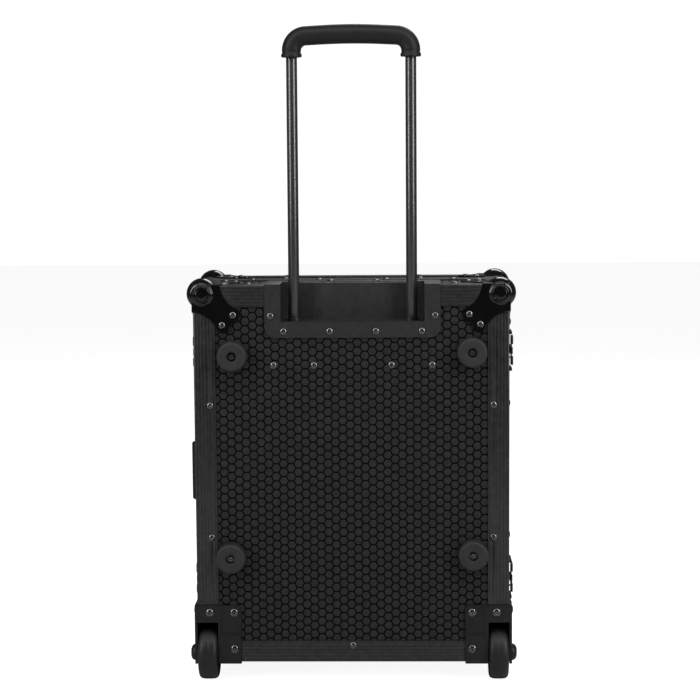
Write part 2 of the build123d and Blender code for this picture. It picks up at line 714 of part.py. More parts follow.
def foot_screw(height):
    """The foot's pan-head screw with a cross recess, about the same axis as the foot."""
    seat = height - recess_deep + washer_t
    with BuildPart() as one:
        with Locations((0, 0, seat + screw_rise / 2)):
            Cylinder(screw_head, screw_rise)
        fillet(one.edges().group_by(Axis.Z)[-1], 1.6)
        for turn in (0, 90):
            with Locations(Location((0, 0, seat + screw_rise), (0, 0, turn))):
                Box(5.2, 1.1, 3.0, mode=Mode.SUBTRACT)
        with Locations((0, 0, (seat - board) / 2)):
            Cylinder(screw_radius, seat + board)
    return one.part


def foot_washer(height):
    """A flat washer at the bottom of the foot's recess."""
    with BuildPart() as one:
        with Locations((0, 0, height - recess_deep + washer_t / 2)):
            Cylinder(recess_radius - 0.3, washer_t)
            Cylinder(screw_radius + 0.1, washer_t, mode=Mode.SUBTRACT)
    return one.part


base_seats = face_places(front_plane, foot_places, -trim_t)
base_tall = foot_height + trim_t
standing_seats = face_places(end_plane, both_sides([(standing_x, standing_y)]), -trim_t)
standing_tall = low_z + trim_t
for name, seats, tall in (("base", base_seats, base_tall), ("standing", standing_seats, standing_tall)):
    for kind, shape in (("feet", foot(tall)), ("foot_screws", foot_screw(tall))):
        with BuildPart() as group:
            with Locations(*seats):
                add(shape)
        save(group.part, f"{name}_{kind}")
with BuildPart() as base_foot_washers:
    with Locations(*base_seats):
        add(foot_washer(base_tall))
save(base_foot_washers.part, "base_foot_washers")


# ---- trolley handle -----------------------------------------------------------------------
rod_xs = [trolley_x + s * rod_spacing / 2 for s in (-1, 1)]
flange_low = high_z - flange_height
half_tray = tray_width / 2
tray_back = face_y + tray_deep
with BuildPart() as trolley_tray:
    block(flange_left, flange_right, face_y - tray_rise, panel_out, flange_low, high_z + tray_rise)
    fillet(trolley_tray.edges().filter_by(Axis.Y).group_by(Axis.Z)[0], flange_radius)
    block(flange_left, flange_right, panel_out, tray_back + flange_back, high_z - trim_t, high_z + tray_rise)
    block(trolley_x - half_tray - tray_wall, trolley_x + half_tray + tray_wall, face_y, tray_back + tray_wall,
          tray_floor - tray_wall, high_z)
    block(trolley_x - half_tray, trolley_x + half_tray, face_y - 5, tray_back, tray_floor, high_z + 5,
          mode=Mode.SUBTRACT)
    block(trolley_x - tray_middle_width / 2, trolley_x + tray_middle_width / 2, face_y + tray_middle,
          tray_back + 0.1, tray_floor - 0.1, high_z)
    for x in rod_xs:
        rod((x, rod_y, tray_floor), "z", collar_radius + 0.1, 10, mode=Mode.SUBTRACT)
    add(base_holes, mode=Mode.SUBTRACT)
save(trolley_tray.part, "trolley_tray")

tube_top_z = tray_floor - tray_wall
with BuildPart() as guide_tubes:
    for x in rod_xs:
        rod((x, rod_y, (tube_low_z + tube_top_z) / 2), "z", tube_radius, tube_top_z - tube_low_z)
        rod((x, rod_y, mid_z), "z", tube_bore, case_height, mode=Mode.SUBTRACT)
save(guide_tubes.part, "guide_tubes")

with BuildPart() as guide_collars:
    middle = (tube_top_z + tray_floor + collar_height) / 2
    for x in rod_xs:
        rod((x, rod_y, middle), "z", collar_radius, collar_height + tray_wall)
        rod((x, rod_y, tray_floor), "z", rod_radius + running_play, 30, mode=Mode.SUBTRACT)
save(guide_collars.part, "guide_collars")

with BuildPart() as guide_clamps:
    for x in rod_xs:
        z0, z1 = clamp_z - clamp_height / 2, clamp_z + clamp_height / 2
        block(x - clamp_reach, x + clamp_reach, panel_in, panel_in + 2.0, z0, z1)
        block(x - tube_radius - 2.0, x + tube_radius + 2.0, panel_in, rod_y + tube_radius + 1.6, z0, z1)
        rod((x, rod_y, clamp_z), "z", tube_radius + 0.1, 40, mode=Mode.SUBTRACT)
    add(base_holes, mode=Mode.SUBTRACT)
save(guide_clamps.part, "guide_clamps")

with BuildPart() as tube_sockets:
    for x in rod_xs:
        block(x - socket_half, x + socket_half, panel_in, floor_y - 0.5, tube_low_z - 5.0, tube_low_z + 22.0)
        rod((x, rod_y, tube_low_z + 20.0), "z", tube_radius + 0.05, 40, mode=Mode.SUBTRACT)
save(tube_sockets.part, "tube_sockets")

with BuildPart() as trolley_rods:
    for x in rod_xs:
        rod((x, rod_y, (rod_low_z + grip_socket_z) / 2), "z", rod_radius, grip_socket_z - rod_low_z)
        rod((x, rod_y, (rod_low_z + grip_socket_z) / 2), "z", rod_bore, case_height, mode=Mode.SUBTRACT)
save(trolley_rods.part, "trolley_rods")

with BuildPart() as rod_bushes:
    for x in rod_xs:
        rod((x, rod_y, rod_low_z - bush_height / 2), "z", bush_radius, bush_height)
        rod((x, rod_y, rod_low_z), "z", rod_bore - 0.05, 30)
save(rod_bushes.part, "rod_bushes")

grip_axis_z = grip_top - grip_radius
with BuildPart() as trolley_grip:
    with BuildLine():
        corners = [(rod_xs[0], rod_y, grip_end_z), (rod_xs[0], rod_y, grip_axis_z),
                   (rod_xs[1], rod_y, grip_axis_z), (rod_xs[1], rod_y, grip_end_z)]
        FilletPolyline(*corners, radius=grip_bend)
    with BuildSketch(Plane.XY.offset(grip_end_z)):
        with Locations((rod_xs[0], rod_y)):
            Circle(grip_radius)
    sweep()
    for x in rod_xs:
        with Locations((x, rod_y, grip_end_z - lip_height / 2)):
            Cylinder(lip_radius, lip_height)
    fillet(trolley_grip.edges().group_by(Axis.Z)[0], 1.6)
    for x in rod_xs:
        rod((x, rod_y, (grip_end_z + grip_socket_z) / 2 - 10), "z", rod_radius + 0.02,
            grip_socket_z - grip_end_z + 20, mode=Mode.SUBTRACT)
save(trolley_grip.part, "trolley_grip")

# ---- carry handle on the left side --------------------------------------------------------
hinge_y = handle_y + hinge_step
sleeve_y = handle_y + sleeve_step
plate_face = -skin - dish_wall
lug_z = dish_height / 2 + 4.5
with BuildPart() as handle_dish:
    block(plate_face, -skin, handle_y - handle_plate_width / 2, handle_y + handle_plate_width / 2,
          handle_z - handle_plate_height / 2, handle_z + handle_plate_height / 2)
    fillet(handle_dish.edges().filter_by(Axis.X), 5.0)
    block(plate_face, -inner_x + dish_in, handle_y - dish_width / 2, handle_y + dish_width / 2,
          handle_z - dish_height / 2, handle_z + dish_height / 2)
    block(plate_face - 1, -inner_x + dish_in - dish_wall, handle_y - dish_width / 2 + dish_wall,
          handle_y + dish_width / 2 - dish_wall, handle_z - dish_height / 2 + dish_wall,
          handle_z + dish_height / 2 - dish_wall, mode=Mode.SUBTRACT)
    for s in (-1, 1):
        lug = handle_z + s * lug_z
        block(hinge_x - bail_wire - 1.2, plate_face, hinge_y - 5.0, hinge_y + 5.0, lug - 3.0, lug + 3.0)
    rod((hinge_x, hinge_y, handle_z), "z", bail_wire + running_play, 200, mode=Mode.SUBTRACT)
    add(base_holes, mode=Mode.SUBTRACT)
save(handle_dish.part, "handle_dish")

with BuildPart() as handle_bail:
    ends = lug_z + 4.0
    with BuildLine():
        turns = [(hinge_x, hinge_y, handle_z + ends), (hinge_x, hinge_y, handle_z + bail_half),
                 (sleeve_x, sleeve_y, handle_z + bail_half), (sleeve_x, sleeve_y, handle_z - bail_half),
                 (hinge_x, hinge_y, handle_z - bail_half), (hinge_x, hinge_y, handle_z - ends)]
        FilletPolyline(*turns, radius=4.5)
    with BuildSketch(Plane.XY.offset(handle_z + ends)):
        with Locations((hinge_x, hinge_y)):
            Circle(bail_wire)
    sweep()
save(handle_bail.part, "handle_bail")

with BuildPart() as handle_sleeve:
    rod((sleeve_x, sleeve_y, handle_z), "z", sleeve_radius, sleeve_long - 7.0)
    fillet(handle_sleeve.edges().filter_by(GeomType.CIRCLE), 3.0)
    rod((sleeve_x, sleeve_y, handle_z), "z", bail_wire + 0.02, sleeve_long, mode=Mode.SUBTRACT)
save(handle_sleeve.part, "handle_sleeve")

with BuildPart() as handle_springs:
    for s in (-1, 1):
        middle = handle_z + s * (bail_half + 5.6)
        rod((hinge_x, hinge_y, middle), "z", bail_wire + 0.6, 2.0)
        rod((hinge_x, hinge_y, middle), "z", bail_wire + 0.02, 4.0, mode=Mode.SUBTRACT)
save(handle_springs.part, "handle_springs")


# ---- butterfly latches --------------------------------------------------------------------
def latch_plate(z):
    """The base half: a riveted plate with raised ends, the hook's lugs and the spindle's bore."""
    with BuildPart() as plate:
        block(side_x, side_x + latch_plate_t, part_y - 41, part_y - 1, z - latch_half, z + latch_half)
        block(skin, side_x, part_y - 41, rim_edge - 0.2, z - latch_half, z + latch_half)
        for s in (-1, 1):
            middle = z + s * (latch_half - 1.9)
            block(side_x, side_x + latch_level, part_y - 38, part_y - 4, middle - 1.9, middle + 1.9)
            lug = z + s * (hook_half + 1.4)
            block(side_x, side_x + 4.6, part_y + hook_pivot_y - 2.2, part_y + hook_pivot_y + 2.2,
                  lug - 1.0, lug + 1.0)
        pivot = (side_x + hook_mid, part_y + hook_pivot_y, z)
        rod(pivot, "z", hook_pin + running_play, 24, mode=Mode.SUBTRACT)
        rod((side_x, part_y + spindle_y, z), "x", spindle_radius + running_play, 20, mode=Mode.SUBTRACT)
        add(base_holes, mode=Mode.SUBTRACT)
    return plate.part


def latch_keeper(z):
    """The lid half: a riveted plate with a lip and a window behind it for the hook's claw."""
    with BuildPart() as keeper:
        block(side_x, side_x + keeper_t, part_y + 4.5, part_y + 21, z - 12, z + 12)
        block(skin, side_x, lid_rim_edge + 0.2, part_y + 21, z - 12, z + 12)
        block(side_x - 0.1, side_x + 5, part_y + 8, part_y + 12.5, z - 8, z + 8, mode=Mode.SUBTRACT)
        add(lid_holes, mode=Mode.SUBTRACT)
    return keeper.part


def latch_hook(z):
    """The hook, standing off by the open angle about its own pin."""
    pivot = (side_x + hook_mid, part_y + hook_pivot_y, z)
    low, high = z - hook_half, z + hook_half
    tip = part_y + hook_tip_y
    with BuildPart() as hook:
        block(side_x + hook_low, side_x + hook_high, part_y + hook_pivot_y - 2.2, tip, low, high)
        block(side_x + 0.3, side_x + hook_low, part_y + 8.3, tip, low, high)
        for shift in (-1.2, 0.0, 1.2):
            rod((side_x, part_y + spindle_y + shift, z), "x", spindle_radius + 0.6, 20, mode=Mode.SUBTRACT)
        rod(pivot, "z", hook_pin, 2 * hook_half + 4.6)
    return hook.part.rotate(Axis(pivot, (0, 0, 1)), -hook_open)


def latch_spindle(z):
    """The spindle with its turn plate and the lugs that carry the wings."""
    with BuildPart() as spindle:
        rod((side_x - 0.6, part_y + spindle_y, z), "x", spindle_radius, 10.8)
        middle = part_y + spindle_y
        block(side_x + 4.8, side_x + 5.6, middle - 11, middle + 11, z - 4.6, z + 4.6)
        for s in (-1, 1):
            lug = middle + s * (wing_half + 1.15)
            block(side_x + 4.8, side_x + 8.5, lug - 0.85, lug + 0.85, z - 4.6, z + 4.6)
        for s in (-1, 1):
            rod((side_x + wing_axis_rise, middle, z + s * wing_axis_z), "y", wing_pin + running_play, 40,
                mode=Mode.SUBTRACT)
    return spindle.part


def latch_wing(z, s):
    """One folded wing: a barrel and pin at the spindle, and a thick outer lip to grip."""
    middle = part_y + spindle_y
    with BuildPart() as wing:
        z0, z1 = sorted((z + s * wing_axis_z, z + s * wing_reach))
        block(side_x + 6.1, side_x + 7.5, middle - wing_half, middle + wing_half, z0, z1)
        z0, z1 = sorted((z + s * 8.6, z + s * wing_reach))
        block(side_x + 6.1, side_x + latch_top, middle - wing_half, middle + wing_half, z0, z1)
        fillet(wing.edges().filter_by(Axis.X).group_by(Axis.Z)[-1 if s > 0 else 0], 3.0)
        rod((side_x + wing_axis_rise, middle, z + s * wing_axis_z), "y", 1.2, 2 * wing_half)
        rod((side_x + wing_axis_rise, middle, z + s * wing_axis_z), "y", wing_pin, 2 * wing_half + 3.8)
    return wing.part


for kind, maker in (("latch_plates", latch_plate), ("latch_keepers", latch_keeper)):
    with BuildPart() as group:
        for z in latch_heights.values():
            shape = maker(z)
            add([shape, shape.mirror(Plane.YZ)])
    save(group.part, kind)

for height, z in latch_heights.items():
    shapes = {"hook": latch_hook(z), "spindle": latch_spindle(z), "wing_up": latch_wing(z, 1),
              "wing_down": latch_wing(z, -1)}
    for kind, shape in shapes.items():
        save(shape, f"latch_{height}_right_{kind}")
        save(shape.mirror(Plane.YZ), f"latch_{height}_left_{kind}")
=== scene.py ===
"""Looks for the rolling flight case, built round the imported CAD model.

Everything is in metres in the model's own frame. Hard pieces take their shape from the CAD node with
softened edges; laminate, ball corners, rivets, tyres, the grip and the foam have meshes of their own.
"""
import json
import math

import bmesh
import bpy
from mathutils import Matrix, Vector, noise

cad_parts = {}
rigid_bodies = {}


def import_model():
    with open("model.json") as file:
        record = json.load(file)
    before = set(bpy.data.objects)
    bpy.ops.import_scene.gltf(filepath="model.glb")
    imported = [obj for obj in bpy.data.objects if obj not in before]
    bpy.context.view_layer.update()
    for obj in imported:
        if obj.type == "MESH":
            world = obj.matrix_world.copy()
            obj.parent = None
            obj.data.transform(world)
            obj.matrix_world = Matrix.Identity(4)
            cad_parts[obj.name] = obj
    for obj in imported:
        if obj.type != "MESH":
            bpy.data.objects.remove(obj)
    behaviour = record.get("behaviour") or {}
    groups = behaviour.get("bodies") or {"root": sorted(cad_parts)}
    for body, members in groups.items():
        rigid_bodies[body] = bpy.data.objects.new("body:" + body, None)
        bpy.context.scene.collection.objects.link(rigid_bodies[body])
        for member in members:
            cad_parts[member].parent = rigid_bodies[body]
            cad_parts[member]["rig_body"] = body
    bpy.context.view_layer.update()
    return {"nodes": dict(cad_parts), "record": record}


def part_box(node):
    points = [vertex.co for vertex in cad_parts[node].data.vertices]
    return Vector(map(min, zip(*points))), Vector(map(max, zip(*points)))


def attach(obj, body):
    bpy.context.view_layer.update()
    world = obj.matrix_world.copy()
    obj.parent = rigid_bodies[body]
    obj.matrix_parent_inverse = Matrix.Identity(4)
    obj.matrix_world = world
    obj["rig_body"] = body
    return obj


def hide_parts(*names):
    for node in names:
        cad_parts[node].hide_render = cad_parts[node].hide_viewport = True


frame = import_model()
nodes = frame["nodes"]

MM = 0.001
slot_of = {part["node"]: part["material_slot"] for part in frame["record"]["subparts"]}
body_of = {name: obj["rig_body"] for name, obj in nodes.items()}

# ---- the case's own planes, from the CAD --------------------------------------------------
panel_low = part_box("base_panel")[0]
lid_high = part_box("lid_panel")[1]
walls_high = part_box("base_side_walls")[1]
ends_low, ends_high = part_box("base_end_walls")
TRIM = 1.8 * MM
BASE_DEPTH = 110 * MM
skin_x = walls_high.x
face_y = panel_low.y - TRIM
back_y = lid_high.y + TRIM
low_z = ends_low.z - TRIM
high_z = ends_high.z + TRIM
side_x = skin_x + TRIM
part_y = face_y + BASE_DEPTH


# ---- finishes -----------------------------------------------------------------------------
class Nodes:
    """A short way to add and link shader nodes."""

    def __init__(self, tree):
        self.tree = tree

    def add(self, kind, **values):
        node = self.tree.nodes.new(kind)
        for key, value in values.items():
            if hasattr(node, key):
                setattr(node, key, value)
            else:
                node.inputs[key.replace("_", " ")].default_value = value
        return node

    def link(self, source, output, target, entry):
        self.tree.links.new(source.outputs[output], target.inputs[entry])


def finish(name, dark, light, rough, metallic=0.0, specular=0.5, mottle=90.0, grain=1400.0,
           depth=0.04, stretch=(1, 1, 1)):
    """A finish with mottled colour, uneven gloss and a fine grain, stretched where it is brushed."""
    material = bpy.data.materials.new(name)
    material.use_nodes = True
    tree = Nodes(material.node_tree)
    shader = material.node_tree.nodes["Principled BSDF"]
    shader.inputs["Metallic"].default_value = metallic
    shader.inputs["Specular IOR Level"].default_value = specular
    place = tree.add("ShaderNodeTexCoord")
    scaled = tree.add("ShaderNodeMapping")
    scaled.inputs["Scale"].default_value = stretch
    tree.link(place, "Object", scaled, "Vector")
    broad = tree.add("ShaderNodeTexNoise", Scale=mottle, Detail=5.0, Roughness=0.6)
    fine = tree.add("ShaderNodeTexNoise", Scale=grain, Detail=3.0, Roughness=0.55)
    mixed = tree.add("ShaderNodeMath", operation="MULTIPLY_ADD")
    mixed.inputs[1].default_value = 0.45
    half = tree.add("ShaderNodeMath", operation="MULTIPLY")
    half.inputs[1].default_value = 0.55
    colour = tree.add("ShaderNodeValToRGB")
    colour.color_ramp.elements[0].position = 0.36
    colour.color_ramp.elements[0].color = (*dark, 1)
    colour.color_ramp.elements[1].position = 0.64
    colour.color_ramp.elements[1].color = (*light, 1)
    gloss = tree.add("ShaderNodeMapRange")
    for key, value in (("From Min", 0.3), ("From Max", 0.7), ("To Min", rough[0]), ("To Max", rough[1])):
        gloss.inputs[key].default_value = value
    relief = tree.add("ShaderNodeBump", Strength=0.6, Distance=depth * MM)
    tree.link(scaled, "Vector", broad, "Vector")
    tree.link(scaled, "Vector", fine, "Vector")
    tree.link(broad, "Fac", half, 0)
    tree.link(fine, "Fac", mixed, 0)
    tree.link(half, "Value", mixed, 2)
    tree.link(mixed, "Value", colour, "Fac")
    tree.link(mixed, "Value", gloss, "Value")
    tree.link(fine, "Fac", relief, "Height")
    tree.link(colour, "Color", shader, "Base Color")
    tree.link(gloss, "Result", shader, "Roughness")
    tree.link(relief, "Normal", shader, "Normal")
    return material


def grey(level):
    """A neutral colour, a trace cooler than pure grey."""
    return (level, level, level * 1.02)


FINISH = {
    "black_edging": finish("black_edging", grey(0.040), grey(0.066), (0.30, 0.42), 0.7, 0.5,
                           mottle=160, grain=2200, depth=0.015, stretch=(1, 1, 1)),
    "black_steel": finish("black_steel", grey(0.006), grey(0.011), (0.34, 0.46), 0.0, 0.35,
                          mottle=120, grain=1700, depth=0.03),
    "ball_steel": finish("ball_steel", grey(0.0020), grey(0.0035), (0.12, 0.20), 0.0, 0.5,
                         mottle=70, grain=900, depth=0.01),
    "rivet_metal": finish("rivet_metal", grey(0.11), grey(0.16), (0.16, 0.24), 1.0, 0.5,
                          mottle=300, grain=2500, depth=0.01),
    "hex_laminate": finish("hex_laminate", grey(0.014), grey(0.026), (0.42, 0.60), 0.0, 0.22,
                           mottle=140, grain=1900, depth=0.05),
    # Groove finish: near-black and almost unreflecting, painted shade in the laminate's grooves and on the
    # sunk board between the hexagons.
    "hex_groove_painted_shade": finish("hex_groove_painted_shade", grey(0.0008), grey(0.0018), (0.9, 1.0), 0.0, 0.02,
                         mottle=140, grain=1900, depth=0.05),
    "tray_steel": finish("tray_steel", grey(0.018), grey(0.028), (0.38, 0.50), 0.1, 0.45,
                         mottle=130, grain=1500, depth=0.05),
    "rod_metal": finish("rod_metal", grey(0.085), grey(0.11), (0.26, 0.30), 0.75, 0.5,
                        mottle=150, grain=900, depth=0.001, stretch=(1, 1, 0.03)),
    "grip_rubber": finish("grip_rubber", grey(0.007), grey(0.012), (0.46, 0.60), 0.0, 0.30,
                          mottle=60, grain=1600, depth=0.06),
    "black_plastic": finish("black_plastic", grey(0.010), grey(0.017), (0.40, 0.55), 0.0, 0.45,
                            mottle=80, grain=1300, depth=0.03),
    "tube_metal": finish("tube_metal", grey(0.42), grey(0.56), (0.25, 0.38), 1.0, 0.5,
                         mottle=140, grain=2200, depth=0.01, stretch=(1, 1, 0.04)),
    "foot_rubber": finish("foot_rubber", grey(0.017), grey(0.026), (0.52, 0.66), 0.0, 0.4,
                          mottle=90, grain=1500, depth=0.05),
    "screw_steel": finish("screw_steel", grey(0.10), grey(0.18), (0.28, 0.40), 1.0, 0.5,
                          mottle=220, grain=2400, depth=0.01),
    "tyre_rubber": finish("tyre_rubber", grey(0.007), grey(0.012), (0.40, 0.54), 0.0, 0.4,
                          mottle=70, grain=1400, depth=0.04),
    "foam": finish("foam", grey(0.035), grey(0.065), (0.88, 0.98), 0.0, 0.15,
                   mottle=420, grain=1100, depth=0.5),
    "spring_steel": finish("spring_steel", grey(0.3), grey(0.45), (0.25, 0.38), 1.0, 0.5,
                           mottle=220, grain=2400, depth=0.01),
    "bare_plywood": finish("bare_plywood", (0.36, 0.24, 0.13), (0.56, 0.41, 0.25), (0.5, 0.65), 0.0,
                           0.35, mottle=70, grain=600, depth=0.06, stretch=(1, 1, 0.06)),
}
FINISH["plywood"] = FINISH["hex_laminate"]


# ---- ways to make a piece -----------------------------------------------------------------
def settle(piece, node, smooth=35.0, finishes=None):
    """Smooth the piece, give it its finish and let it stand for a CAD node."""
    mesh = piece.data
    indices = [0] * len(mesh.polygons)
    if finishes:
        mesh.polygons.foreach_get("material_index", indices)
    mesh.materials.clear()
    for each in finishes or [slot_of[node]]:
        mesh.materials.append(FINISH[each])
    mesh.polygons.foreach_set("material_index", indices)
    mesh.polygons.foreach_set("use_smooth", [True] * len(mesh.polygons))
    mesh.set_sharp_from_angle(angle=math.radians(smooth))
    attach(piece, body_of[node])
    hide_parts(node)
    return piece


def new_piece(name, mesh):
    piece = bpy.data.objects.new(name, mesh)
    bpy.context.scene.collection.objects.link(piece)
    return piece


def from_lists(name, points, faces, indices):
    """An object from points in metres and faces, with a material index for each face."""
    mesh = bpy.data.meshes.new(name)
    mesh.from_pydata(points, [], faces)
    mesh.polygons.foreach_set("material_index", indices)
    mesh.update()
    return new_piece(name, mesh)


def clean_copy(node):
    """The CAD node's mesh with its seams closed and its flat faces whole."""
    mesh = nodes[node].data.copy()
    shape = bmesh.new()
    shape.from_mesh(mesh)
    bmesh.ops.remove_doubles(shape, verts=shape.verts, dist=0.002 * MM)
    bmesh.ops.dissolve_limit(shape, angle_limit=math.radians(0.4), verts=shape.verts, edges=shape.edges)
    shape.to_mesh(mesh)
    shape.free()
    mesh.name = node + "_look"
    return mesh


def apply_modifiers(piece):
    """Bake the piece's modifiers into its mesh."""
    graph = bpy.context.evaluated_depsgraph_get()
    bpy.context.view_layer.update()
    mesh = bpy.data.meshes.new_from_object(piece.evaluated_get(graph))
    piece.modifiers.clear()
    piece.data = mesh
    return piece


def softened(node, width, smooth=20.0):
    """The CAD node with its edges rounded by a real bevel."""
    piece = new_piece(node + "_look", clean_copy(node))
    bevel = piece.modifiers.new("edges", "BEVEL")
    bevel.width = width * MM
    bevel.segments = 2
    bevel.limit_method = "ANGLE"
    bevel.angle_limit = math.radians(40)
    bevel.use_clamp_overlap = True
    apply_modifiers(piece)
    return settle(piece, node, smooth)


def islands(node):
    """The separate solids of a CAD node, each as its list of points."""
    shape = bmesh.new()
    shape.from_mesh(nodes[node].data)
    bmesh.ops.remove_doubles(shape, verts=shape.verts, dist=0.002 * MM)
    left = set(shape.verts)
    found = []
    while left:
        heap = [left.pop()]
        group = []
        while heap:
            vert = heap.pop()
            group.append(vert.co.copy())
            for edge in vert.link_edges:
                other = edge.other_vert(vert)
                if other in left:
                    left.remove(other)
                    heap.append(other)
        found.append(group)
    shape.free()
    return sorted(found, key=lambda g: tuple(round(x, 5) for x in sum(g, Vector()) / len(g)))


def box_of(points):
    low = Vector([min(p[i] for p in points) for i in range(3)])
    high = Vector([max(p[i] for p in points) for i in range(3)])
    return low, high


class Mesh:
    """Points and faces gathered from several shapes."""

    def __init__(self):
        self.points, self.faces, self.indices = [], [], []

    def lathe(self, profile, turn, steps):
        """A closed shape turned from (radius, height) points that start and end on the axis."""
        start = len(self.points)
        inner = profile[1:-1]
        self.points.append(turn @ Vector((0, 0, profile[0][1])))
        for r, h in inner:
            for i in range(steps):
                a = 2 * math.pi * i / steps
                self.points.append(turn @ Vector((r * math.cos(a), r * math.sin(a), h)))
        self.points.append(turn @ Vector((0, 0, profile[-1][1])))
        last = len(self.points) - 1
        for i in range(steps):
            j = (i + 1) % steps
            self.faces.append((start, start + 1 + j, start + 1 + i))
            for k in range(len(inner) - 1):
                a, b = start + 1 + k * steps, start + 1 + (k + 1) * steps
                self.faces.append((a + i, a + j, b + j, b + i))
            a = start + 1 + (len(inner) - 1) * steps
            self.faces.append((a + i, a + j, last))
        self.indices += [0] * (len(self.faces) - len(self.indices))

    def band(self, profile, turn, steps):
        """A closed ring turned from a loop of (radius, height) points."""
        start = len(self.points)
        count = len(profile)
        for i in range(steps):
            a = 2 * math.pi * i / steps
            for r, h in profile:
                self.points.append(turn @ Vector((r * math.cos(a), r * math.sin(a), h)))
        for i in range(steps):
            j = (i + 1) % steps
            for k in range(count):
                n = (k + 1) % count
                self.faces.append((start + i * count + k, start + j * count + k,
                                   start + j * count + n, start + i * count + n))
        self.indices += [0] * (len(self.faces) - len(self.indices))

    def piece(self, name):
        made = from_lists(name, self.points, self.faces, self.indices)
        shape = bmesh.new()
        shape.from_mesh(made.data)
        bmesh.ops.recalc_face_normals(shape, faces=shape.faces)
        shape.to_mesh(made.data)
        shape.free()
        return made


def facing(centre, outward):
    """A transform whose +Z is the outward direction, at a centre."""
    turn = Vector((0, 0, 1)).rotation_difference(outward).to_matrix().to_4x4()
    return Matrix.Translation(centre) @ turn


# ---- hexagon laminate ---------------------------------------------------------------------
HEX_COLUMN = 9.94 * MM
HEX_ROW = 11.6 * MM
HEX_GROOVE = 1.9 * MM
HEX_RISE = 0.5 * MM
HEX_START = (8.0 * MM, 7.9 * MM)


def hex_tiles(mesh, spot, u_range, v_range, start, skip=None):
    """Raised flat-topped hexagons over a face; spot turns (u, v, height) into a point."""
    flat = HEX_ROW / 2 - HEX_GROOVE / 2
    rings = [(flat + 0.10 * MM, -HEX_RISE - 0.05 * MM), (flat + 0.02 * MM, -0.12 * MM),
             (flat - 0.30 * MM, -0.02 * MM)]
    first = math.ceil((u_range[0] - start[0]) / HEX_COLUMN)
    last = math.floor((u_range[1] - start[0]) / HEX_COLUMN)
    for column in range(first, last + 1):
        u = start[0] + column * HEX_COLUMN
        shift = start[1] + (column % 2) * HEX_ROW / 2
        for row in range(math.ceil((v_range[0] - shift) / HEX_ROW),
                         math.floor((v_range[1] - shift) / HEX_ROW) + 1):
            v = shift + row * HEX_ROW
            if skip and skip(u, v):
                continue
            base = len(mesh.points)
            for reach, height in rings:
                corner = reach / math.cos(math.pi / 6)
                for i in range(6):
                    a = math.pi / 3 * i
                    mesh.points.append(spot(u + corner * math.cos(a), v + corner * math.sin(a), height))
            # Index 1 is the groove finish, painted shade on each hexagon's bottom face and lower walls;
            # index 0, the laminate, is on its upper edge and top.
            mesh.faces.append(tuple(base + i for i in range(5, -1, -1)))
            mesh.indices.append(1)
            for ring in range(2):
                for i in range(6):
                    j = (i + 1) % 6
                    a = base + 6 * ring
                    mesh.faces.append((a + i, a + j, a + 6 + j, a + 6 + i))
                    mesh.indices.append(ring ^ 1)
            mesh.faces.append(tuple(base + 12 + i for i in range(6)))
            mesh.indices.append(0)


def laminated(node, faces):
    """A board whose outer faces are sunk by the laminate's relief, with hexagons standing on them."""
    board = clean_copy(node)
    mesh = Mesh()
    for axis, level, sign, spot, u_range, v_range, start, skip in faces:
        for vert in board.vertices:
            if abs(vert.co[axis] - level) < 0.05 * MM:
                vert.co[axis] = level - sign * HEX_RISE
        hex_tiles(mesh, spot, u_range, v_range, start, skip)
    offset = len(mesh.points)
    mesh.points += [v.co.copy() for v in board.vertices]
    mesh.faces += [tuple(offset + i for i in p.vertices) for p in board.polygons]
    # The sunk board takes the groove finish, painted shade on the board between the hexagons.
    mesh.indices += [1] * len(board.polygons)
    piece = mesh.piece(node + "_look")
    return settle(piece, node, 25.0, [slot_of[node], "hex_groove_painted_shade"])


tray_low, tray_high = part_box("trolley_tray")
bracket_low, bracket_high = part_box("wheel_bracket_right")
LEG = 28.7 * MM
HALF = HEX_ROW / 2


def in_tray(u, v):
    return tray_low.x + HALF < u < tray_high.x - HALF and v > tray_low.z + HALF


def in_bracket(u, v):
    return abs(u) > bracket_low.x + HALF and v < bracket_high.z - HALF


across = (-side_x + LEG - HALF, side_x - LEG + HALF)
upright = (low_z + LEG - HALF, high_z - LEG + HALF)
laminated("base_panel", [(
    1, panel_low.y, -1, lambda u, v, h: Vector((u, panel_low.y - h, v)), across, upright, HEX_START,
    lambda u, v: in_tray(u, v) or in_bracket(u, v))])
laminated("lid_panel", [(
    1, lid_high.y, 1, lambda u, v, h: Vector((u, lid_high.y + h, v)), across, upright, HEX_START, None)])
dish_low, dish_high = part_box("handle_dish")


def in_dish(u, v):
    return dish_low.y + HALF < u < dish_high.y - HALF and dish_low.z + HALF < v < dish_high.z - HALF


def side_faces(y_range, skip):
    return [(0, s * skin_x, s, lambda u, v, h, s=s: Vector((s * (skin_x + h), u, v)),
             y_range, upright, HEX_START, skip if s < 0 else None) for s in (-1, 1)]


def end_faces(y_range, skip_top, skip_end):
    return [(2, high_z - TRIM, 1, lambda u, v, h: Vector((u, v, high_z - TRIM + h)),
             across, y_range, HEX_START, skip_top),
            (2, low_z + TRIM, -1, lambda u, v, h: Vector((u, v, low_z + TRIM - h)),
             across, y_range, HEX_START, skip_end)]


RIM = 15.0 * MM
base_y = (face_y + LEG - HALF, part_y - RIM + 1 * MM)
lid_y = (part_y + RIM - 1 * MM, back_y - LEG + HALF)
laminated("base_side_walls", side_faces(base_y, in_dish))
laminated("lid_side_walls", side_faces(lid_y, None))
laminated("base_end_walls", end_faces(
    base_y, lambda u, v: tray_low.x + HALF < u < tray_high.x - HALF and v < tray_high.y,
    lambda u, v: abs(u) > bracket_low.x + HALF and v < bracket_high.y))
laminated("lid_end_walls", end_faces(lid_y, None, None))

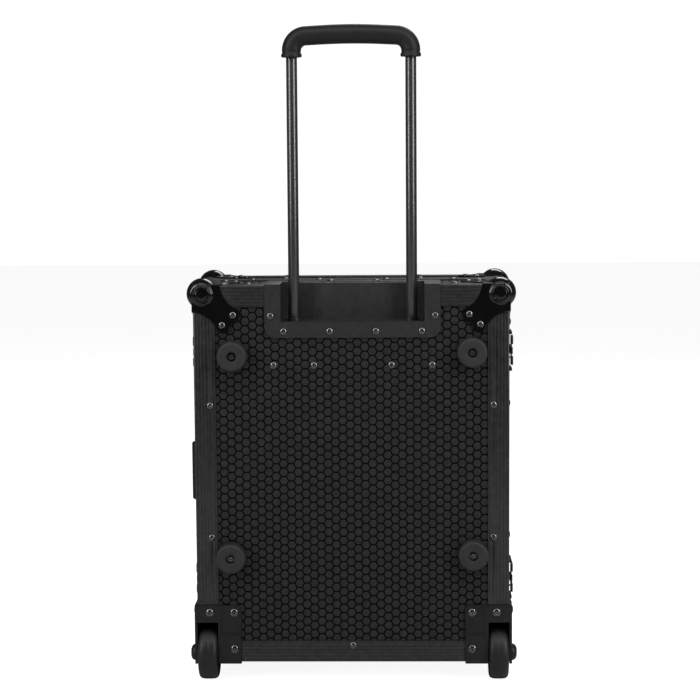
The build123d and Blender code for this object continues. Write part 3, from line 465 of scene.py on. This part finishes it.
# ---- hardware that keeps its CAD shape, with real rounded edges ---------------------------
for node, width in (
        ("base_rim", 0.3), ("lid_rim", 0.3),
        ("wheel_bracket_left", 0.9), ("wheel_bracket_right", 0.9), ("wheel_axles", 0.3),
        ("trolley_tray", 0.5), ("guide_collars", 0.5), ("guide_tubes", 0.2), ("guide_clamps", 0.4),
        ("tube_sockets", 0.8), ("handle_dish", 0.5), ("handle_bail", 0.2), ("handle_sleeve", 0.3),
        ("handle_springs", 0.2), ("latch_plates", 0.35), ("latch_keepers", 0.35),
        ("base_feet", 0.4), ("standing_feet", 0.4), ("base_foot_screws", 0.2),
        ("standing_foot_screws", 0.2), ("base_foot_washers", 0.2), ("rod_bushes", 0.4),
        ("wheel_core_left", 0.5), ("wheel_core_right", 0.5),
        ("false_floor", 0.4), ("floor_battens", 0.6)):
    softened(node, width)
softened("trolley_rods", 0.2, smooth=42.0)
softened("base_edge_trims", 0.22, smooth=35.0)
softened("lid_edge_trims", 0.22, smooth=35.0)
for node in nodes:
    if node.startswith("latch_") and node not in ("latch_plates", "latch_keepers"):
        softened(node, 0.3)

# ---- rivets -------------------------------------------------------------------------------
HEAD = 4.7 * MM
HEAD_RISE = 2.2 * MM
RIVET_STEPS = 28
RIVET_PROFILE = [(0, 0.5), (0.9, 0.5), (1.15, 0.7), (1.2, 1.75), (1.45, 1.98), (1.9, 1.95), (2.6, 1.78),
                 (3.3, 1.5), (3.9, 1.16), (4.35, 0.82), (4.62, 0.5), (4.7, 0.22), (4.66, 0.0),
                 (2.3, 0.0), (2.3, -11.0), (0, -11.0)]


def rivets(node):
    """Domed rivets with a sunk middle, one on each of the CAD node's solids."""
    mesh = Mesh()
    for points in islands(node):
        low, high = box_of(points)
        size = high - low
        axis = max(range(3), key=lambda i: size[i])
        middle = (low + high) / 2
        across_axis = (axis + 1) % 3
        wide = max(abs(p[across_axis] - middle[across_axis]) for p in points)
        head = [p for p in points if abs(p[across_axis] - middle[across_axis]) > 0.8 * wide]
        outward = Vector((0, 0, 0))
        outward[axis] = 1.0 if sum(p[axis] for p in head) / len(head) > middle[axis] else -1.0
        scale = wide / HEAD
        top = high[axis] if outward[axis] > 0 else low[axis]
        centre = middle.copy()
        centre[axis] = top - outward[axis] * HEAD_RISE * scale
        profile = [(r * scale * MM, h * scale * MM if h >= 0 else h * MM) for r, h in RIVET_PROFILE]
        mesh.lathe(profile, facing(centre, outward), RIVET_STEPS)
    return settle(mesh.piece(node + "_look"), node, 50.0)


rivets("base_rivets")
rivets("lid_rivets")

# ---- ball corners -------------------------------------------------------------------------
BALL = 21.0 * MM
INSET = 12.0 * MM
RISE = 1.6 * MM
SKIRT = 36.0
SINK = 0.9 * MM
LIP = 0.95
CHAMFER = 0.9 * MM


def arc(a, b, c, steps=10):
    """Points along the arc from a through b to c, without its first point."""
    (ax, ay), (bx, by), (cx, cy) = a, b, c
    d = 2 * (ax * (by - cy) + bx * (cy - ay) + cx * (ay - by))
    aa, bb, cc = ax * ax + ay * ay, bx * bx + by * by, cx * cx + cy * cy
    ux = (aa * (by - cy) + bb * (cy - ay) + cc * (ay - by)) / d
    uy = (aa * (cx - bx) + bb * (ax - cx) + cc * (bx - ax)) / d
    start, end = math.atan2(ay - uy, ax - ux), math.atan2(cy - uy, cx - ux)
    mid = math.atan2(by - uy, bx - ux)
    sweep = (end - start) % (2 * math.pi)
    if (mid - start) % (2 * math.pi) > sweep:
        sweep -= 2 * math.pi
    radius = math.hypot(ax - ux, ay - uy)
    angles = [start + sweep * i / steps for i in range(1, steps + 1)]
    return [(ux + radius * math.cos(angle), uy + radius * math.sin(angle)) for angle in angles]


plate_outline = [(0, 0), (SKIRT, 0)]
for points in (((SKIRT, 0), (43.5, 19.5), (61.3, 33.5)), ((61.3, 33.5), (61.7, 45.9), (50.1, 50.1)),
               ((50.1, 50.1), (45.9, 61.7), (33.5, 61.3)), ((33.5, 61.3), (19.5, 43.5), (0, SKIRT))):
    plate_outline += arc(*points)


def dimple_depth(ring):
    """How far the ball's surface sinks, by the distance in millimetres from its broad face's axis."""
    steps = [(0.0, 2.3), (8.9, 1.35), (9.4, 1.2), (10.0, 0.35), (10.9, 0.15), (12.2, 0.5), (13.2, 0.8),
             (14.3, 0.55), (15.2, 0.0)]
    for (r0, d0), (r1, d1) in zip(steps, steps[1:]):
        if r0 <= ring <= r1:
            t = (ring - r0) / (r1 - r0)
            return (d0 + (d1 - d0) * t * t * (3 - 2 * t)) * MM
    return 0.0


def ball(corner, inward):
    """One glossy ball with a ringed dimple on its broad side, cut away inside the case."""
    shape = bmesh.new()
    bmesh.ops.create_icosphere(shape, subdivisions=6, radius=BALL)
    for vert in shape.verts:
        direction = vert.co.normalized()
        toward = -direction.dot(inward[1])
        ring = BALL / MM * math.sqrt(max(0.0, 1 - toward * toward))
        vert.co = direction * (BALL - (dimple_depth(ring) if toward > 0 else 0.0))
    centre = corner + sum(inward, Vector()) * INSET
    bmesh.ops.translate(shape, verts=shape.verts, vec=centre)
    for vert in list(shape.verts):
        depth = min((vert.co - corner).dot(each) for each in inward)
        if depth > TRIM + SINK:
            shape.verts.remove(vert)
    rim = [e for e in shape.edges if e.is_boundary]
    made = bmesh.ops.extrude_edge_only(shape, edges=rim)
    for vert in [v for v in made["geom"] if isinstance(v, bmesh.types.BMVert)]:
        vert.co = centre + (vert.co - centre) * LIP
    mesh = bpy.data.meshes.new("ball")
    shape.to_mesh(mesh)
    shape.free()
    return mesh


def plates(mesh_out, corner, inward):
    """The three riveted plates that wrap the corner, and their rounded bends."""
    for i in range(3):
        out = -inward[i]
        a, b = inward[(i + 1) % 3], inward[(i + 2) % 3]
        shape = bmesh.new()
        foot = corner - out * (TRIM - 0.02 * MM)
        verts = [shape.verts.new(foot + a * u * MM + b * v * MM) for u, v in plate_outline]
        face = shape.faces.new(verts)
        lifted = bmesh.ops.extrude_face_region(shape, geom=[face])
        top = [v for v in lifted["geom"] if isinstance(v, bmesh.types.BMVert)]
        for vert in top:
            vert.co += out * (TRIM + RISE)
        bmesh.ops.recalc_face_normals(shape, faces=shape.faces)
        edges = [e for e in shape.edges if all(v in top for v in e.verts) and e.calc_length() < 34 * MM]
        bmesh.ops.bevel(shape, geom=edges, offset=CHAMFER, segments=1, profile=0.5, affect="EDGES",
                        clamp_overlap=True)
        offset = len(mesh_out.points)
        shape.verts.index_update()
        mesh_out.points += [v.co.copy() for v in shape.verts]
        mesh_out.faces += [tuple(offset + v.index for v in f.verts) for f in shape.faces]
        mesh_out.indices += [0] * len(shape.faces)
        shape.free()
        turns = [math.pi / 2 * k / 6 for k in range(7)]
        bend = [(0, 0)] + [(RISE * math.cos(turn), RISE * math.sin(turn)) for turn in turns]
        offset = len(mesh_out.points)
        for along in (0.0, SKIRT * MM):
            for p, q in bend:
                mesh_out.points.append(corner + inward[i] * along - a * p - b * q)
        count = len(bend)
        for k in range(count):
            n = (k + 1) % count
            mesh_out.faces.append((offset + k, offset + n, offset + count + n, offset + count + k))
        mesh_out.faces.append(tuple(offset + k for k in range(count)))
        mesh_out.faces.append(tuple(offset + 2 * count - 1 - k for k in range(count)))
        mesh_out.indices += [0] * (count + 2)


def ball_corners(node, spots):
    gathered = Mesh()
    for sx, sy, sz in spots:
        corner = Vector((sx * side_x, face_y if sy < 0 else back_y, high_z if sz > 0 else low_z))
        inward = [Vector((-sx, 0, 0)), Vector((0, -sy, 0)), Vector((0, 0, -sz))]
        one = ball(corner, inward)
        offset = len(gathered.points)
        gathered.points += [v.co.copy() for v in one.vertices]
        gathered.faces += [tuple(offset + i for i in p.vertices) for p in one.polygons]
        gathered.indices += [0] * len(one.polygons)
        bpy.data.meshes.remove(one)
        plates(gathered, corner, inward)
    return settle(gathered.piece(node + "_look"), node, 40.0)


ball_corners("base_ball_corners", [(s, -1, 1) for s in (-1, 1)])
ball_corners("lid_ball_corners", [(s, 1, end) for s in (-1, 1) for end in (-1, 1)])

# ---- trolley grip -------------------------------------------------------------------------
rods_low, rods_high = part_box("trolley_rods")
TROLLEY_X = (rods_low.x + rods_high.x) / 2
ROD_Y = (rods_low.y + rods_high.y) / 2
ROD_RADIUS = 7.3 * MM
ROD_STEP = (rods_high.x - rods_low.x) / 2 - ROD_RADIUS
GRIP_FOOT = 836.6
GRIP_BEND = 19.5 * MM
BEND_FOOT = 845.5
BEND_RISE = 19.3
BAR_CROWN = 2.1
GRIP_STEPS = 40
SEAM_DEPTH = 0.12 * MM
# Each lip ring's height over the grip's foot, half thickness and half depth, in millimetres.
LIP_RINGS = [(0.0, 12.4, 12.2), (0.8, 13.6, 13.4), (4.0, 13.7, 13.5), (4.8, 13.0, 12.9), (5.8, 12.3, 12.3),
             (8.4, 12.6, 12.6)]


def grip_path():
    """Middle line, as (x from the trolley's middle, z, half thickness, half depth), up one side."""
    stations = [(ROD_STEP, GRIP_FOOT + h, thick, deep) for h, thick, deep in LIP_RINGS]
    for k in range(11):
        a = math.pi / 2 * k / 10
        x = ROD_STEP - GRIP_BEND + GRIP_BEND * math.cos(a)
        stations.append((x, BEND_FOOT + BEND_RISE * math.sin(a), 12.7, 12.8))
    for k in range(1, 9):
        t = k / 8
        x = (ROD_STEP - GRIP_BEND) * (1 - t)
        z = BEND_FOOT + BEND_RISE + BAR_CROWN * math.sin(math.pi / 2 * t)
        stations.append((x, z, 12.7 + 0.15 * t, 12.8 + 0.2 * t))
    return stations


def grip():
    """The moulded grip: an oval bar that bends down to the rods, with a lip at each end."""
    side = grip_path()
    path = [(TROLLEY_X - x, z * MM, t * MM, d * MM) for x, z, t, d in side]
    path += [(2 * TROLLEY_X - x, z, t, d) for x, z, t, d in reversed(path[:-1])]
    steps = GRIP_STEPS
    mesh = Mesh()
    for k, (x, z, thick, deep) in enumerate(path):
        before, after = path[max(0, k - 1)], path[min(len(path) - 1, k + 1)]
        along = Vector((after[0] - before[0], 0, after[1] - before[1]))
        if k < len(LIP_RINGS):
            along = Vector((0, 0, 1))
        if k >= len(path) - len(LIP_RINGS):
            along = Vector((0, 0, -1))
        along.normalize()
        outer = Vector((-along.z, 0, along.x))
        for i in range(steps):
            a = 2 * math.pi * i / steps
            seam = SEAM_DEPTH if i in (steps // 4, 3 * steps // 4) else 0.0
            mesh.points.append(Vector((x, ROD_Y, z)) + outer * (thick * math.cos(a))
                               + Vector((0, 1, 0)) * ((deep - seam) * math.sin(a)))
    for k in range(len(path) - 1):
        for i in range(steps):
            j = (i + 1) % steps
            mesh.faces.append((k * steps + i, k * steps + j, (k + 1) * steps + j, (k + 1) * steps + i))
    mesh.faces.append(tuple(range(steps)))
    mesh.faces.append(tuple(range(len(mesh.points) - 1, len(mesh.points) - 1 - steps, -1)))
    mesh.indices = [0] * len(mesh.faces)
    return settle(mesh.piece("trolley_grip_look"), "trolley_grip", 50.0)


grip()

# ---- tyres --------------------------------------------------------------------------------
TYRE_HALF = [(25.5, 12.6), (27.0, 13.2), (30.6, 13.15), (32.6, 12.5), (34.2, 11.2), (35.3, 9.2), (35.8, 6.6),
             (35.98, 3.2), (36.0, 0.4)]
TYRE_SEAM = (35.85, 0.0)
TYRE_PROFILE = [(r, -h) for r, h in TYRE_HALF] + [TYRE_SEAM] + TYRE_HALF[::-1]
TYRE_STEPS = 128
for side in ("left", "right"):
    low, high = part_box("tyre_" + side)
    mesh = Mesh()
    profile = [(r * MM, h * MM) for r, h in TYRE_PROFILE]
    mesh.band(profile, facing((low + high) / 2, Vector((1, 0, 0))), TYRE_STEPS)
    settle(mesh.piece("tyre_" + side + "_look"), "tyre_" + side, 60.0)


# ---- foam ---------------------------------------------------------------------------------
FOAM_EDGE = 2.0 * MM
FOAM_CELL = 3.0 * MM


def foam(node):
    """The CAD foam with soft edges and a slightly uneven cut surface."""
    piece = new_piece(node + "_look", clean_copy(node))
    bevel = piece.modifiers.new("edges", "BEVEL")
    bevel.width = FOAM_EDGE
    bevel.segments = 3
    bevel.limit_method = "ANGLE"
    bevel.angle_limit = math.radians(40)
    remesh = piece.modifiers.new("cells", "REMESH")
    remesh.mode = "VOXEL"
    remesh.voxel_size = FOAM_CELL
    apply_modifiers(piece)
    mesh = piece.data
    mesh.update()
    moves = [v.normal * (noise.noise(v.co * 140) * 0.35 * MM + noise.noise(v.co * 30) * 0.3 * MM - 0.35 * MM)
             for v in mesh.vertices]
    for vert, move in zip(mesh.vertices, moves):
        vert.co += move
    settle(piece, node, 80.0)
    return piece


foam("base_foam")
foam("lid_foam")

# ---- floor, light and camera --------------------------------------------------------------
# The floor's lift and the white behind it are for camera rays only, so neither one lights the case.
REACH = 9.0
FLOOR_LIFT = 0.92
FRONT_DIM, BACK_DIM = 0.02, 0.10
BACKDROP = 1.05
floor_material = finish("floor_paper", (0.60, 0.60, 0.60), (0.64, 0.64, 0.64), (0.85, 0.95), 0.0, 0.1,
                        mottle=3, grain=400, depth=0.02)
paper = Nodes(floor_material.node_tree)
glow = floor_material.node_tree.nodes["Principled BSDF"]
glow.inputs["Emission Color"].default_value = (1, 1, 1, 1)
seen = paper.add("ShaderNodeLightPath")
lift = paper.add("ShaderNodeMath", operation="MULTIPLY")
lift.inputs[1].default_value = FLOOR_LIFT
paper.link(seen, "Is Camera Ray", lift, 0)
paper.link(lift, "Value", glow, "Emission Strength")
floor_mesh = bpy.data.meshes.new("floor")
floor_mesh.from_pydata([(-REACH, -REACH, 0), (REACH, -REACH, 0), (REACH, REACH, 0), (-REACH, REACH, 0)], [],
                       [(0, 1, 2, 3)])
floor_mesh.materials.append(floor_material)
floor = new_piece("floor", floor_mesh)

world = bpy.data.worlds.new("studio")
bpy.context.scene.world = world
world.use_nodes = True
sky = Nodes(world.node_tree)
for node in list(world.node_tree.nodes):
    world.node_tree.nodes.remove(node)
output = sky.add("ShaderNodeOutputWorld")
where = sky.add("ShaderNodeTexCoord")
split = sky.add("ShaderNodeSeparateXYZ")
shade = sky.add("ShaderNodeMapRange")
for key, value in (("From Min", -0.6), ("From Max", 0.6), ("To Min", FRONT_DIM), ("To Max", BACK_DIM)):
    shade.inputs[key].default_value = value
seen = sky.add("ShaderNodeLightPath")
lit = sky.add("ShaderNodeBackground")
plain = sky.add("ShaderNodeBackground")
plain.inputs["Color"].default_value = (1, 1, 1, 1)
plain.inputs["Strength"].default_value = BACKDROP
choose = sky.add("ShaderNodeMixShader")
sky.link(where, "Generated", split, "Vector")
sky.link(split, "Y", shade, "Value")
sky.link(shade, "Result", lit, "Strength")
sky.link(seen, "Is Camera Ray", choose, 0)
sky.link(lit, "Background", choose, 1)
sky.link(plain, "Background", choose, 2)
sky.link(choose, "Shader", output, "Surface")


def softbox(name, place, target, size, power):
    """A rectangular area light in metres and watts, turned towards its target."""
    data = bpy.data.lights.new(name, "AREA")
    data.shape = "RECTANGLE"
    data.size, data.size_y = size
    data.energy = power
    light = bpy.data.objects.new(name, data)
    bpy.context.scene.collection.objects.link(light)
    light.location = place
    light.rotation_euler = (Vector(target) - Vector(place)).to_track_quat("-Z", "Y").to_euler()
    return light


softbox("overhead", (0.0, -0.9, 2.1), (0, 0, 0.5), (1.8, 0.8), 13)
softbox("left_strip", (-1.35, -1.15, 1.25), (0, 0, 0.7), (0.4, 1.6), 18)
softbox("right_strip", (1.35, -1.15, 1.25), (0, 0, 0.7), (0.4, 1.6), 21)
softbox("back_fill", (0.6, 2.0, 2.4), (0, 0, 0.3), (1.6, 0.8), 26)

LENS = 102.9
YAW, PITCH, ROLL = -0.0266, -0.1053, -0.0073
STAND = Vector((68.68, -2729.74, 729.68)) * MM
camera_data = bpy.data.cameras.new("camera")
camera_data.lens = LENS
camera_data.sensor_width = 36.0
camera_data.clip_end = 50.0
camera = bpy.data.objects.new("camera", camera_data)
bpy.context.scene.collection.objects.link(camera)
bpy.context.scene.camera = camera
ahead = Vector((math.sin(YAW) * math.cos(PITCH), math.cos(YAW) * math.cos(PITCH), math.sin(PITCH)))
level = Vector((math.cos(YAW), -math.sin(YAW), 0.0))
above = level.cross(ahead)
right = math.cos(ROLL) * level + math.sin(ROLL) * above
top = -math.sin(ROLL) * level + math.cos(ROLL) * above
pose = Matrix((right, top, -ahead)).transposed().to_4x4()
pose.translation = STAND
camera.matrix_world = pose
bpy.context.scene.view_settings.view_transform = "Standard"
